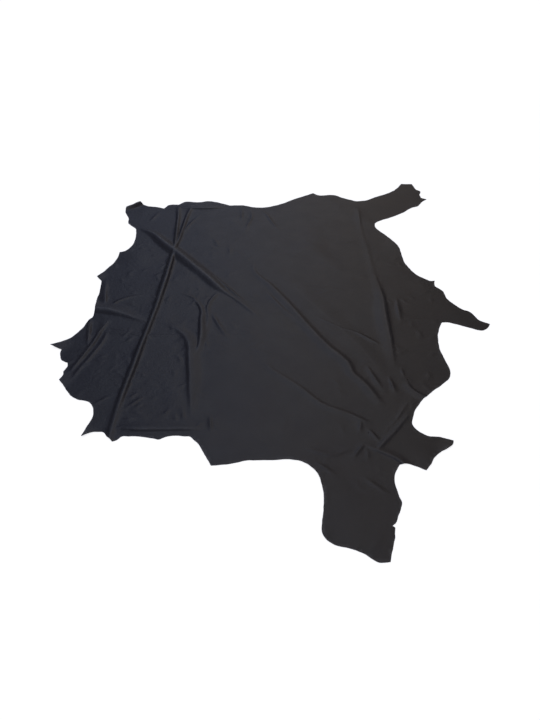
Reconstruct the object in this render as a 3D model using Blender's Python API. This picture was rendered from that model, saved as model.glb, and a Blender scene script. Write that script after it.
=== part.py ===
"""A whole black leather hide, spread out on a flat surface with the creases of its storage folds.

One solid: a sheet of even thickness, cut to the hide's own outline. Plan sizes in the tables are in
centimetres and heights in millimetres, read with the long lower flap towards -Y. The finished hide is
in metres, +Z up, with its origin on the surface under the middle of its bounding box.
"""

from collections import namedtuple

import bmesh
import bpy
import numpy as np
from mathutils import Vector
from mathutils.geometry import delaunay_2d_cdt, interpolate_bezier

CM = 0.01
MM = 0.001

# Driving sizes of the sheet
THICKNESS = 1.3 * MM
EDGE_STEP = 2.4 * CM
FIELD_STEP = 9.0 * CM
FOLD_STEP = 4.6 * CM
CLOSEST = 1.5 * CM
EDGE_MARGIN = 1.1 * CM

# Rows of points laid along a fold, as shares of the half width on their side of the crest
FOLD_ROWS = (-1.0, -0.5, 0.0, 0.5, 1.0)

# How sharply two ridges that cross blend into one surface
RIDGE_BLEND = 3

# Finish of the grain side
LEATHER_COLOUR = (0.022, 0.022, 0.025, 1.0)
LEATHER_ROUGHNESS = 0.48

# The cut edge, clockwise from above. Each row is one smooth stretch. It ends in a corner where the
# next row starts. Points are X and Y in centimetres.
Stretch = namedtuple("Stretch", "name points")
CUT_EDGE = (
    Stretch("upper left tip, outer side", ((-101.4, 106.2), (-97.5, 108.4))),
    Stretch("upper left tip, inner side", ((-93.2, 113.4), (-91.2, 111.5), (-87.5, 109.2), (-80, 107.5))),
    Stretch("start of the buckled top edge", ((-75.5, 106), (-73, 110.3), (-68, 111))),
    Stretch("buckled top edge", ((-66, 110.8), (-62.5, 114.6), (-52, 114.6), (-45.5, 116), (-37, 113.5))),
    Stretch("hollow of the top edge", ((-30.5, 110.2), (-20, 110), (-14, 107.6), (-5, 107.6), (2, 110.4))),
    Stretch("rise of the top edge", ((8, 114), (14.5, 119), (22, 123.8))),
    Stretch("crown of the top edge", ((28.5, 128), (32, 125), (43, 124.8), (50, 120.5))),
    Stretch("upper right leg, far side", ((57.5, 116.5), (65.5, 117.5), (72, 121.8), (80, 126.3), (87.5, 132))),
    Stretch("upper right leg, far end", ((94.5, 142),)),
    Stretch("upper right leg, end", ((102.3, 141.8), (103.2, 136.5), (104, 133), (106, 131.2), (104.7, 125))),
    Stretch("upper right leg, small notch", ((104.8, 121),)),
    Stretch("upper right leg, near side", ((108.4, 119), (104, 114.6), (100, 108.8), (96, 107), (88.5, 100.5),
                                           (79, 94), (71.5, 89.8), (67.5, 86.5), (66.8, 81))),
    Stretch("right side above the tooth", ((69.8, 75),)),
    Stretch("right side", ((71, 73), (74, 67.6), (77.8, 58.2), (78.2, 49), (78.5, 41), (80.4, 35),
                           (83, 29), (86.5, 25.2))),
    Stretch("right tooth", ((90.2, 22.5),)),
    Stretch("right side below the tooth", ((92.6, 22.7), (91.6, 17.5), (95, 13), (95.4, 7.2), (99, 0.4))),
    Stretch("tapered flap, far side", ((102, -3.5), (105, -5), (108.4, -12.2))),
    Stretch("tapered flap, tip", ((113, -15.4), (111.4, -18), (107.5, -20.4), (101.6, -18.2), (94.8, -15.2),
                                  (91, -13.9))),
    Stretch("hollow under the tapered flap", ((88.2, -14), (85.6, -18.8), (83.4, -26), (82.4, -34), (83.4, -43.6),
                                              (84, -48), (82.6, -53.6), (78, -58.2), (72, -63))),
    Stretch("hollow above the lower right tab", ((67, -67.5), (63, -72.5), (60.4, -78), (59.6, -81.8), (62, -85.8),
                                                 (65, -87.8), (70.5, -88.4))),
    Stretch("lower right tab, end", ((75.2, -90.5), (74, -93), (69, -95.8), (65.2, -99), (63.2, -102))),
    Stretch("lower right tab, near side", ((60.6, -105), (56.2, -102.8), (53.5, -102))),
    Stretch("long lower flap, right side", ((50.5, -102.2), (48.2, -105.6), (47, -110.8), (47.6, -116.4),
                                            (48.1, -119.6), (46.4, -124))),
    Stretch("nick in the long lower flap", ((44.2, -128.2),)),
    Stretch("nick, its other side", ((43.1, -129),)),
    Stretch("long lower flap, under the nick", ((43.9, -129.8), (43, -134), (41.4, -138.4))),
    Stretch("long lower flap, end", ((40, -142.6), (36, -142.9), (31.6, -140), (26.8, -137.9), (21, -136.3),
                                     (18, -134.4), (16.7, -131.5), (17.4, -124.8), (18.3, -116), (17.6, -110.2),
                                     (16, -105.6), (14, -103.2), (11, -101), (8, -100.1), (-2, -100.1))),
    Stretch("bottom edge", ((-12, -100.2), (-18, -101.8))),
    Stretch("bottom edge, left corner", ((-26.5, -102.7), (-29.4, -97.8), (-32.6, -92.2))),
    Stretch("rolled bottom edge, right half", ((-36.8, -88.1), (-46, -88))),
    Stretch("rolled bottom edge, left half", ((-50, -89.8), (-54, -88.9), (-60, -88))),
    Stretch("mouth of the long pinched fold", ((-65.8, -88.1), (-67.6, -90))),
    Stretch("left of that mouth", ((-69.3, -90.8), (-72, -88.2))),
    Stretch("lower left spike, near side", ((-74.5, -85.7), (-78.6, -86))),
    Stretch("lower left spike, far side", ((-82.8, -88.6), (-81.8, -83), (-80.9, -76.2), (-82.2, -71.8),
                                           (-84.8, -68.7), (-90, -67.4), (-94, -64.8), (-97.8, -60.2))),
    Stretch("left edge, small points", ((-101.6, -55.8), (-100.7, -52.4), (-101.2, -50.2), (-100.4, -46.6))),
    Stretch("under the left spike", ((-101, -44), (-103, -43.2))),
    Stretch("left spike, near side", ((-104.4, -42.2), (-106.6, -37.4), (-106.4, -34.8), (-108.6, -34))),
    Stretch("left spike, far side", ((-112.7, -32.1), (-108.5, -29.8), (-105.3, -27), (-102.2, -22.6),
                                     (-99.8, -17.3), (-98.5, -11.8))),
    Stretch("end of the short left fold", ((-97.1, -9.6),)),
    Stretch("left edge", ((-96.8, -4.4), (-98.2, 4), (-98.6, 14))),
    Stretch("left tooth, near side", ((-99.9, 22.8),)),
    Stretch("left tooth, far side", ((-103, 26.1), (-100.9, 30.2), (-98.8, 35.3), (-96.8, 39.6), (-95.3, 47))),
    Stretch("left edge, step", ((-95.2, 52), (-92.6, 53), (-90, 56.9), (-88.8, 60.6), (-88.4, 66.5),
                                (-89.4, 75), (-90.6, 79.8), (-93.4, 82.6))),
    Stretch("left edge, upper part", ((-96.4, 86), (-98, 93.8), (-100.4, 98.6), (-101.8, 103.6))),
)

# The folds. Each row is one crease, with its stations in order along its crest. A station has the
# crest's place, its height over the surface in millimetres, and how far the fold spreads to the left
# and to the right of that direction, in centimetres.
Fold = namedtuple("Fold", "name stations")
Station = namedtuple("Station", "x y height left right")
RIDGES = (
    Fold("long pinched fold", (
        Station(-62.1, 56, 11, 2.8, 2.2), Station(-63.5, 38, 13, 3.4, 2), Station(-64.3, 20, 13, 4, 2),
        Station(-65, 0, 12, 3.5, 2), Station(-66.6, -20, 12, 3.5, 2), Station(-67.9, -38, 13, 3.8, 2),
        Station(-69.2, -55, 13, 4, 2), Station(-70.3, -68, 12, 3.4, 2.2), Station(-70.7, -80, 9, 3, 2.2),
        Station(-70.4, -92, 12, 3, 3))),
    Fold("long pinched fold, left upper branch", (
        Station(-65.8, 106, 5, 2.6, 2.2), Station(-64.6, 97, 6, 2.4, 2.2), Station(-63.4, 80, 7, 2.4, 2),
        Station(-62.4, 66, 10, 2.4, 2), Station(-62, 56, 10, 2.4, 2))),
    Fold("long pinched fold, right upper branch", (
        Station(-56.6, 108, 4, 2.4, 2.4), Station(-58.2, 98, 6, 2.2, 2.2), Station(-59.4, 82, 7, 2.2, 2.2),
        Station(-60.6, 66, 8, 2.2, 2.2), Station(-62, 56, 6, 2.2, 2.2))),
    Fold("great diagonal fold", (
        Station(-87.4, 80.4, 0, 3, 3), Station(-83.8, 77.2, 8, 5, 3.4), Station(-75.7, 68.2, 16, 7, 4.2),
        Station(-66.5, 56.4, 20, 7, 4.4), Station(-56.8, 43.8, 20, 7, 4.4), Station(-46.4, 30.8, 17, 6.4, 4),
        Station(-38, 21.4, 13, 6, 3.4), Station(-31.6, 14.4, 9, 5, 3), Station(-26, 9, 5, 4, 2.4),
        Station(-17.6, 1.2, 3, 4, 2.4), Station(-10, -6, 0, 3, 2.4))),
    Fold("long fold across the middle", (
        Station(-11.6, 43, 0, 2.4, 4), Station(-7.8, 26.6, 4, 2.6, 5), Station(5.7, 8.6, 6, 3, 6.4),
        Station(15.5, -8.6, 7, 3, 7), Station(25.4, -26.8, 7, 3, 7), Station(35.8, -43.4, 7, 3, 7),
        Station(45.6, -67.6, 5, 2.8, 5), Station(48.4, -76, 0, 2.4, 4))),
    Fold("swell beside the long fold", (
        Station(2, 34, 0, 8, 8), Station(14, 12, 4, 9, 9), Station(32, -16, 5, 9, 9), Station(46, -40, 4, 7, 7),
        Station(54, -58, 0, 5, 5))),
    Fold("low fold below the long fold", (
        Station(-4.6, 12.4, 0, 2.4, 3), Station(4.7, -2, 2.6, 2.4, 3.4), Station(14.9, -20.8, 3, 2.4, 3.6),
        Station(22.6, -37.8, 2.4, 2.4, 3.6), Station(29, -50, 0, 2.4, 3))),
    Fold("right upright fold", (
        Station(58, 108, 0, 3.4, 2.2), Station(57.6, 88, 3, 4, 2.2), Station(58, 55, 2.4, 4, 2.2),
        Station(58.4, 24, 2.4, 5, 2.2), Station(59, 3.3, 6, 6, 2.2), Station(59.3, -8.6, 8, 6, 2.2),
        Station(59.1, -19.9, 7, 6, 2.2), Station(58, -36.3, 4, 5, 2.2), Station(57, -56, 0, 3, 2.2))),
    Fold("short left fold", (
        Station(-101.5, -3.4, 17, 6, 3), Station(-97, -4.2, 17, 6, 3), Station(-91, -5, 15, 6, 3),
        Station(-84, -7, 11, 5.4, 2.8), Station(-75, -10.6, 6, 5, 2.5), Station(-66.5, -13.5, 0, 3, 2.5))),
    Fold("curved fold, inner line", (
        Station(-44.3, 4.6, 0, 2.4, 2.2), Station(-43.6, 0.6, 5, 2.6, 2.2), Station(-40.8, -7, 8, 3, 2.2),
        Station(-40.2, -16, 9, 3, 2.2), Station(-40.3, -25.6, 7, 3, 2.2), Station(-41.2, -35, 4, 2.6, 2.2),
        Station(-43, -43, 0, 2.4, 2.2))),
    Fold("curved fold, outer line", (
        Station(-31.6, 12, 0, 2.2, 2.4), Station(-35, 6.8, 3, 2.2, 2.4), Station(-35.6, -5, 5, 2.2, 2.2),
        Station(-37, -21.4, 5, 2.2, 2.2), Station(-38.6, -31.2, 4, 2.2, 2.2), Station(-40.6, -38, 0, 2.2, 2.2))),
    Fold("lower upright fold", (
        Station(-54, -22, 0, 2.2, 3), Station(-48, -24.9, 3, 2.2, 3.6), Station(-44.7, -29.4, 6, 2.2, 4),
        Station(-42.8, -40.2, 8, 2.2, 4.5), Station(-39.4, -58.4, 7, 2.2, 4.5), Station(-39.3, -64.6, 5, 2.2, 4),
        Station(-38, -72.3, 3, 2.2, 3.4), Station(-36.8, -82, 0, 2.2, 3))),
    Fold("buckle of the top edge", (
        Station(-66, 107, 0, 7, 2.4), Station(-57.4, 106.4, 8, 7.6, 2.4), Station(-47.4, 105.9, 11, 8, 2.4),
        Station(-40.4, 106.4, 8, 6.4, 2.4), Station(-33, 108, 0, 4, 2.4))),
    Fold("curled upper left tip", (
        Station(-104, 104.4, 8, 3, 3), Station(-98.6, 107.8, 18, 3, 3.4), Station(-94.6, 111.2, 20, 3, 3.4),
        Station(-91, 115, 12, 3, 3))),
    Fold("rolled bottom edge", (
        Station(-70, -83, 0, 5, 2.4), Station(-62.6, -84, 7, 5.4, 2.4), Station(-50, -84.2, 7, 5.4, 2.4),
        Station(-38, -84, 6, 5, 2.4), Station(-30.6, -84.2, 0, 4, 2.4))),
    Fold("left edge, outer wrinkle", (
        Station(-98, -11, 0, 2.2, 2.2), Station(-96.4, -18, 5, 2.2, 2.2), Station(-95.4, -26, 5, 2.2, 2.2),
        Station(-94.2, -33, 0, 2.2, 2.2))),
    Fold("left edge, inner wrinkle", (
        Station(-87.6, -9.6, 0, 2.2, 2.4), Station(-90, -20, 6, 2.2, 2.4), Station(-92.4, -31.9, 6, 2.2, 2.6),
        Station(-95.4, -41.9, 5, 2.2, 2.6), Station(-99.4, -53, 0, 2.2, 2.6))),
    Fold("left edge, upper wrinkle", (
        Station(-97.4, 26, 0, 2.6, 2.2), Station(-95.4, 13, 5, 3, 2.2), Station(-93.2, 3, 6, 3, 2.2),
        Station(-91.6, -3.4, 0, 2.4, 2.2))),
    Fold("fold across the lower right", (
        Station(63, -67, 0, 2.4, 2.4), Station(58, -74, 4, 2.4, 2.8), Station(51.8, -83, 5, 2.4, 3),
        Station(45.4, -91.6, 4, 2.4, 2.6), Station(41, -96.6, 0, 2.2, 2.2))),
    Fold("tuck at the right notch", (
        Station(62, -54.6, 0, 2.2, 2.6), Station(62.3, -59.6, 6, 2.2, 2.6), Station(65.4, -63.6, 7, 2.2, 2.6),
        Station(69.6, -67, 7, 2.2, 2.6))),
    Fold("tuck beside the lower right tab", (
        Station(36.6, -92, 0, 2.6, 2.2), Station(41.6, -94.8, 5, 3, 2.2), Station(46.6, -97.4, 6, 3.4, 2.2),
        Station(50.2, -99.8, 9, 3.4, 2.2), Station(54, -104.6, 10, 3.4, 2.2))),
    Fold("lower diagonal fold", (
        Station(-6.5, -39, 0, 3.4, 2.4), Station(11, -58.4, 3, 4, 2.4), Station(25, -71, 4, 4, 2.4),
        Station(37.6, -77.4, 5, 3.4, 2.4), Station(41, -79.6, 0, 3, 2.4))),
)

# Places where the sheet rises off the surface towards a tip, with X, Y and radius in centimetres
Rise = namedtuple("Rise", "name x y radius height")
RISES = (
    Rise("left spike", -115, -30.6, 13, 14),
    Rise("small left point", -103.5, -55, 9, 9),
    Rise("lower left spike", -84.5, -89, 9, 8),
    Rise("left tooth", -104.5, 27.4, 8, 8),
    Rise("soft swell at the left", -84, 44, 13, 4),
    Rise("end of the lower right tab", 76, -96, 9, 9),
)


def curve_through(points, step):
    """Points about a step apart on one smooth curve through the given plan points, in metres."""
    knots = [Vector((x * CM, y * CM, 0.0)) for x, y in points]
    spans = [(b - a).length for a, b in zip(knots, knots[1:])]
    slopes = [(b - a) / span for a, b, span in zip(knots, knots[1:], spans)]
    tangents = [slopes[0]]
    for before, after, span_before, span_after in zip(slopes, slopes[1:], spans, spans[1:]):
        tangents.append((before * span_after + after * span_before) / (span_before + span_after))
    tangents.append(slopes[-1])
    curve = []
    for i, span in enumerate(spans):
        pieces = max(1, round(span / step))
        handle_a = knots[i] + tangents[i] * span / 3.0
        handle_b = knots[i + 1] - tangents[i + 1] * span / 3.0
        curve.extend(interpolate_bezier(knots[i], handle_a, handle_b, knots[i + 1], pieces + 1)[:-1])
    curve.append(knots[-1])
    return curve


def cut_edge():
    """The hide's outline as one closed loop of plan points."""
    loop = []
    for stretch, following in zip(CUT_EDGE, CUT_EDGE[1:] + CUT_EDGE[:1]):
        loop.extend(curve_through(stretch.points + following.points[:1], EDGE_STEP)[:-1])
    return np.array([point.xy for point in loop])


class Crest:
    """A fold's crest line, with its height and spread at each of its points."""

    def __init__(self, fold):
        knots = np.array([station[:2] for station in fold.stations]) * CM
        line = curve_through([station[:2] for station in fold.stations], FOLD_STEP)
        self.points = np.array([point.xy for point in line])
        self.run = np.concatenate(([0.0], np.cumsum(np.linalg.norm(np.diff(self.points, axis=0), axis=1))))
        nearest = [np.argmin(np.linalg.norm(self.points - knot, axis=1)) for knot in knots]
        at_knots = self.run[nearest]
        self.height = np.interp(self.run, at_knots, [station.height * MM for station in fold.stations])
        self.left = np.interp(self.run, at_knots, [station.left * CM for station in fold.stations])
        self.right = np.interp(self.run, at_knots, [station.right * CM for station in fold.stations])

    def rows(self):
        """Plan points in rows along the crest and both its feet."""
        ahead = np.gradient(self.points, axis=0)
        ahead /= np.linalg.norm(ahead, axis=1)[:, None]
        to_left = np.column_stack((-ahead[:, 1], ahead[:, 0]))
        rows = []
        for share in FOLD_ROWS:
            spread = self.left if share < 0 else self.right
            rows.append(self.points - to_left * (spread * share)[:, None])
        return np.concatenate(rows)

    def heights(self, places):
        """The fold's height over the surface at each plan place."""
        best = np.full(len(places), np.inf)
        result = np.zeros(len(places))
        for i in range(len(self.points) - 1):
            start = self.points[i]
            along = self.points[i + 1] - start
            offset = places - start
            share = np.clip(offset @ along / (along @ along), 0.0, 1.0)
            gap = offset - share[:, None] * along
            distance = np.linalg.norm(gap, axis=1)
            on_left = along[0] * offset[:, 1] - along[1] * offset[:, 0] > 0.0
            left = self.left[i] + share * (self.left[i + 1] - self.left[i])
            right = self.right[i] + share * (self.right[i + 1] - self.right[i])
            height = self.height[i] + share * (self.height[i + 1] - self.height[i])
            across = np.minimum(distance / np.where(on_left, left, right), 1.0)
            nearer = distance < best
            best[nearer] = distance[nearer]
            result[nearer] = (height * (1.0 - across ** 2) ** 2)[nearer]
        return result


def sheet_heights(places, crests):
    """Height of the hide's underside over the surface at each plan place."""
    total = np.zeros(len(places))
    for crest in crests:
        total += crest.heights(places) ** RIDGE_BLEND
    for rise in RISES:
        distance = np.linalg.norm(places - np.array((rise.x, rise.y)) * CM, axis=1)
        across = np.minimum(distance / (rise.radius * CM), 1.0)
        total += (rise.height * MM * (1.0 - across ** 2) ** 2) ** RIDGE_BLEND
    return total ** (1.0 / RIDGE_BLEND)


def distance_to_loop(places, loop):
    """Shortest plan distance from each place to the closed loop."""
    shortest = np.full(len(places), np.inf)
    for start, end in zip(loop, np.roll(loop, -1, axis=0)):
        along = end - start
        share = np.clip((places - start) @ along / (along @ along), 0.0, 1.0)
        gap = places - start - share[:, None] * along
        shortest = np.minimum(shortest, np.linalg.norm(gap, axis=1))
    return shortest


def field_points(loop):
    """An even staggered field of plan points over the outline's box."""
    low = loop.min(axis=0)
    high = loop.max(axis=0)
    points = []
    for row, y in enumerate(np.arange(low[1], high[1], FIELD_STEP)):
        shift = FIELD_STEP / 2 if row % 2 else 0.0
        for x in np.arange(low[0] + shift, high[0], FIELD_STEP):
            points.append((x, y))
    return np.array(points)


def spaced(places, loop):
    """The places that keep clear of the cut edge and of the ones kept before them."""
    places = places[distance_to_loop(places, loop) > EDGE_MARGIN]
    kept = np.empty((0, 2))
    for place in places:
        if len(kept) == 0 or np.linalg.norm(kept - place, axis=1).min() > CLOSEST:
            kept = np.vstack((kept, place))
    return kept


def field_clear_of(folds, field):
    """The field's points that don't crowd a row of fold points."""
    clearance = FIELD_STEP * 0.45
    return field[[np.linalg.norm(folds - place, axis=1).min() > clearance for place in field]]


def leather_material():
    """Black leather, the colour of the grain side."""
    material = bpy.data.materials.new("black leather")
    material.use_nodes = True
    shader = material.node_tree.nodes["Principled BSDF"]
    shader.inputs["Base Color"].default_value = LEATHER_COLOUR
    shader.inputs["Roughness"].default_value = LEATHER_ROUGHNESS
    shader.inputs["Metallic"].default_value = 0.0
    return material


def build_hide():
    """The hide: its underside laid out over the folds, then given the leather's thickness."""
    loop = cut_edge()
    crests = [Crest(fold) for fold in RIDGES]
    along_folds = spaced(np.concatenate([crest.rows() for crest in crests]), loop)
    field = spaced(field_clear_of(along_folds, field_points(loop)), loop)
    plan = np.concatenate((loop, along_folds, field))
    edges = [(i, (i + 1) % len(loop)) for i in range(len(loop))]
    points, _, triangles, _, _, _ = delaunay_2d_cdt([Vector(p) for p in plan], edges, [], 1, 1e-6)
    places = np.array([point[:] for point in points])
    heights = sheet_heights(places, crests)
    middle = (loop.min(axis=0) + loop.max(axis=0)) / 2

    hide_bmesh = bmesh.new()
    corners = [hide_bmesh.verts.new((x - middle[0], y - middle[1], z)) for (x, y), z in zip(places, heights)]
    for triangle in triangles:
        hide_bmesh.faces.new([corners[i] for i in triangle])
    bmesh.ops.recalc_face_normals(hide_bmesh, faces=hide_bmesh.faces)
    if sum(face.normal.z for face in hide_bmesh.faces) < 0.0:
        bmesh.ops.reverse_faces(hide_bmesh, faces=hide_bmesh.faces)
    mesh = bpy.data.meshes.new("hide")
    hide_bmesh.to_mesh(mesh)
    hide_bmesh.free()

    hide = bpy.data.objects.new("hide", mesh)
    bpy.context.collection.objects.link(hide)
    hide.data.materials.append(leather_material())
    wall = hide.modifiers.new("leather thickness", "SOLIDIFY")
    wall.thickness = THICKNESS
    wall.offset = 1.0
    return hide


for old in list(bpy.data.objects):
    bpy.data.objects.remove(old)
build_hide()
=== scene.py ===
"""Looks of the black leather hide: the folded sheet with its grain side, flesh side and cut edge.

Fold places are in centimetres on the surface that the hide lies on, with the long lower flap towards
-Y, and heights in millimetres. Everything else is in metres.
"""

import math
from collections import namedtuple

import bmesh
import bpy
import numpy as np
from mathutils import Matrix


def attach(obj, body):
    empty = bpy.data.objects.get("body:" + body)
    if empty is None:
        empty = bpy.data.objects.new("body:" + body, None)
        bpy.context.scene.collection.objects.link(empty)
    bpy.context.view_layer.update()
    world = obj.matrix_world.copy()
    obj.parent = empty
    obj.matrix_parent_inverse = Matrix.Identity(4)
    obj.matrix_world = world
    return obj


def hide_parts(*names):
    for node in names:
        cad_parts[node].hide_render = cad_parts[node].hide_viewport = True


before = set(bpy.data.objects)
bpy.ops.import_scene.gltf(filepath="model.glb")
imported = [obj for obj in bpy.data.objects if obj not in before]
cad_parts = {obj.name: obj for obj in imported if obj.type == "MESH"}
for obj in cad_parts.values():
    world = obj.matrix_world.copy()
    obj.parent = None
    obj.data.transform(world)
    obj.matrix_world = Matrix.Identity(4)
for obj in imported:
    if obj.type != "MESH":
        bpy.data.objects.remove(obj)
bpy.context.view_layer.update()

CM = 0.01
MM = 0.001

# The sheet
THICKNESS = 1.3 * MM

# Middle of the cut edge, in the fold tables' centimetres
TABLE_MIDDLE = np.array((0.15, -0.45)) * CM

# How closely the rim is followed: its step, its sharp corners and its hand-cut wander. Points that are
# closer than the weld count as one, and the underside ends where the sheet turns by the wall angle.
RIM_STEP = 6 * MM
RIM_CORNER = math.radians(48)
RIM_SEED = 5
RIM_WANDER = 0.6 * MM
RIM_SMOOTHINGS = 3
WELD = 0.05 * MM
WALL_ANGLE = math.radians(75)

# Cells of the open sheet, halved where a fold covers them and halved again beside the narrow folds' crests
CELL = 18 * MM
FINER_REACH = 1.0
FINER_HEIGHT = 0.5 * MM
FINEST_REACH = 0.8
FINEST_HEIGHT = 1.9 * MM
NARROW_SIDE = 2.3 * CM
CREST_STEP = 14 * MM
LEAST_SPREAD = 1 * MM
SLICE_SLACK = 0.01 * MM

# Cuts along a fold: crest points to a cut, their places in shares of a steep side's spread, and how near
# to a corner a cut still passes through it. A side is steep from this height in shares of its spread.
CUT_ROWS = 5
CUT_SHARES = (0.4, 0.65, 0.85)
CUT_SLACK = 0.5 * MM
STEEP_SIDE = 0.3

# How sharply two ridges that cross blend into one surface
RIDGE_BLEND = 3

# A fold's cross section. Its peak tells how pinched the crest is: 1.2 is a sharp ridge, 2 is round, and 4
# is a shoulder that drops steeply at its end. The right side may have a peak of its own. A station is one
# point of the crest: its X and Y, its height in millimetres, and the fold's spread to the left and to the
# right of the crest's direction in centimetres.
Fold = namedtuple("Fold", "name peak stations right_peak", defaults=(None,))

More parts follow.
